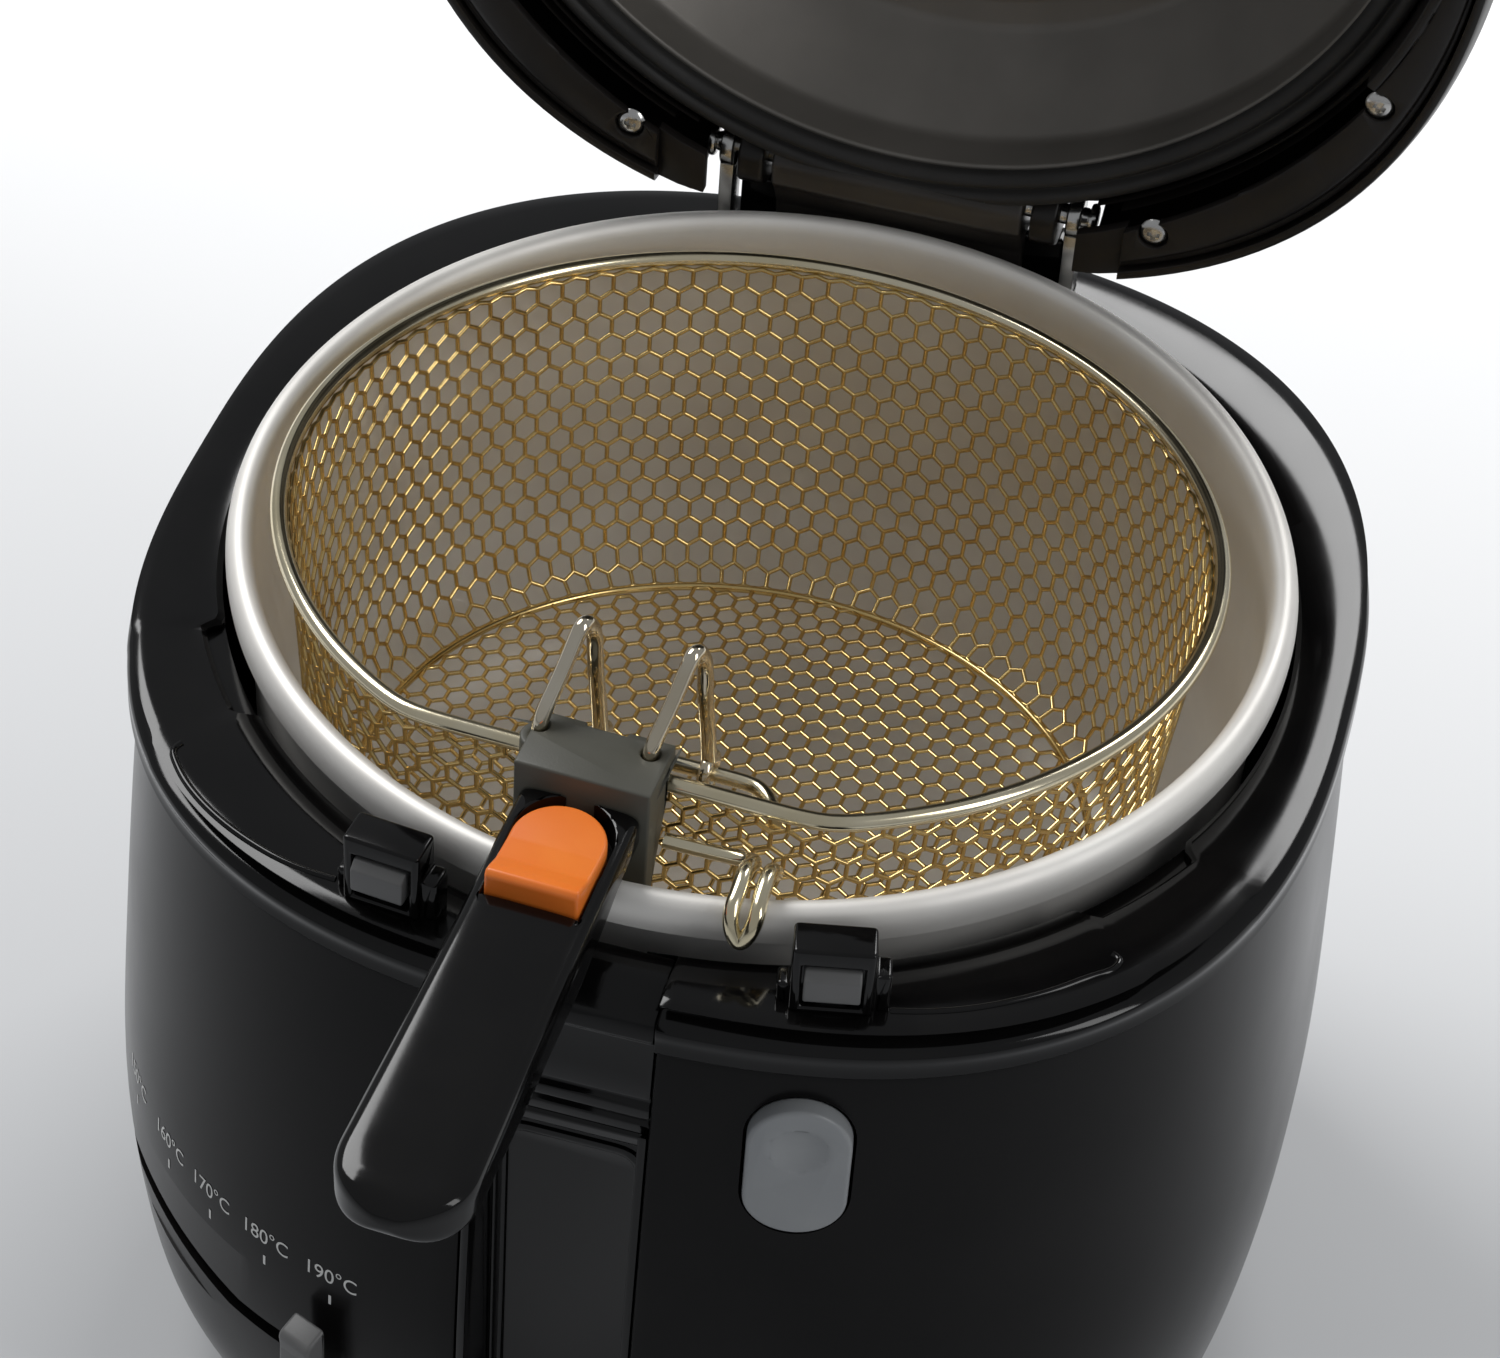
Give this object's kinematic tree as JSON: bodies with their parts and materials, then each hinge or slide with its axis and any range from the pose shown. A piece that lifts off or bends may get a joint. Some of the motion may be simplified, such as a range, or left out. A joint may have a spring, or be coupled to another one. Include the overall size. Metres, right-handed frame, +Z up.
{
  "type": "deep fryer",
  "caption": "Rounded-square electric deep fryer with an open hinged lid, removable bowl, and a wire basket with a folding handle hooked on the bowl rim.",
  "frame": {"origin": "centre of the bounding box in X and Y, on the surface that the feet stand on", "axes": "+Z up, front with the handle and the release button towards -Y, +X to the right seen from the front"},
  "size_m": [0.281, 0.3782, 0.4963],
  "materials": {
    "body_black": "satin, moulded",
    "gloss_black": "polished",
    "satin_black": "satin",
    "liner_black": "matt",
    "rubber_black": "matt",
    "bowl_metal": "satin, anodised",
    "plate_paint": "satin",
    "steel": "bright",
    "gold_wire": "bright, warm tinted",
    "chrome_wire": "bright",
    "grey_satin": "satin",
    "pale_grey": "satin",
    "orange": "satin",
    "bracket_olive": "matt",
    "ceramic": "matt",
    "filter_felt": "felted"
  },
  "bodies": {
    "fryer_body": {"body_shell": "body_black", "collar": "gloss_black", "channel_liner": "gloss_black", "bowl": "bowl_metal", "heating_element": "steel", "heat_shield": "steel", "thermostat_body": "ceramic", "thermal_cutout": "ceramic", "terminal_block": "ceramic", "base_pan": "liner_black", "foot_1": "rubber_black", "foot_2": "rubber_black", "foot_3": "rubber_black", "foot_4": "rubber_black", "base_screw_1": "steel", "base_screw_2": "steel", "base_screw_3": "steel", "base_screw_4": "steel", "cord_gland": "rubber_black", "latch_post_left": "gloss_black", "latch_post_right": "gloss_black", "latch_spring": "steel", "spring_seat": "liner_black", "hinge_barrel": "satin_black", "hinge_pin": "steel", "hinge_arm_left": "steel", "hinge_arm_right": "steel"},
    "lid": {"lid_shell": "satin_black", "lid_liner": "liner_black", "lid_seal": "rubber_black", "lid_inner_plate": "plate_paint", "filter_cover": "liner_black", "filter_cartridge": "filter_felt", "filter_screw": "steel", "lid_screw_1": "steel", "lid_screw_2": "steel", "lid_screw_3": "steel", "lid_screw_4": "steel", "lid_screw_5": "steel", "lid_screw_6": "steel", "lid_catch_left": "steel", "lid_catch_right": "steel"},
    "basket": {"basket_mesh": "gold_wire", "basket_rim_wire": "gold_wire", "basket_cross_wire": "gold_wire", "basket_hook_wire": "gold_wire"},
    "handle": {"hairpin_left": "chrome_wire", "hairpin_right": "chrome_wire", "handle_bracket": "bracket_olive", "handle_grip": "gloss_black"},
    "lock_button": {"handle_button": "orange", "handle_lock_bolt": "steel"},
    "release": {"release_button": "pale_grey"},
    "latch": {"latch_tongue_left": "grey_satin", "latch_tongue_right": "grey_satin", "latch_link": "steel"},
    "temperature": {"slider_lever": "steel", "slider_knob": "grey_satin", "thermostat_shaft": "steel"}
  },
  "joints": [
    {"name": "lid_hinge", "type": "hinge", "parent": "fryer_body", "child": "lid", "pos_m": [0, 0.14742, 0.242], "axis": [-1, 0, 0], "range_deg": [-90, 0]},
    {"name": "basket_lift", "type": "slide", "parent": "fryer_body", "child": "basket", "axis": [0, 0, 1], "range_m": [0, 0.16]},
    {"name": "handle_fold", "type": "hinge", "parent": "basket", "child": "handle", "pos_m": [-0.003, -0.05118, 0.229], "axis": [0.9991, -0.0427, 0], "range_deg": [-170, 0]},
    {"name": "lock_button_slide", "type": "slide", "parent": "handle", "child": "lock_button", "axis": [0.0427, 0.9991, 0], "range_m": [0, 0.003], "stiffness_N_per_m": 400, "springref_m": -0.002},
    {"name": "release_press", "type": "slide", "parent": "fryer_body", "child": "release", "axis": [-0.2079, 0.9781, 0], "range_m": [0, 0.004], "stiffness_N_per_m": 500, "springref_m": -0.003},
    {"name": "latch_drop", "type": "slide", "parent": "fryer_body", "child": "latch", "axis": [0, 0, -1], "range_m": [0, 0.003], "deforming": ["latch_spring"]},
    {"name": "temperature_slide", "type": "hinge", "parent": "fryer_body", "child": "temperature", "pos_m": [0, 0.02542, 0.074], "axis": [0, 0, 1], "range_deg": [-32, 0]}
  ],
  "couplings": [
    {"joint": "latch_drop", "follows": "release_press", "ratio": 0.75}
  ]
}
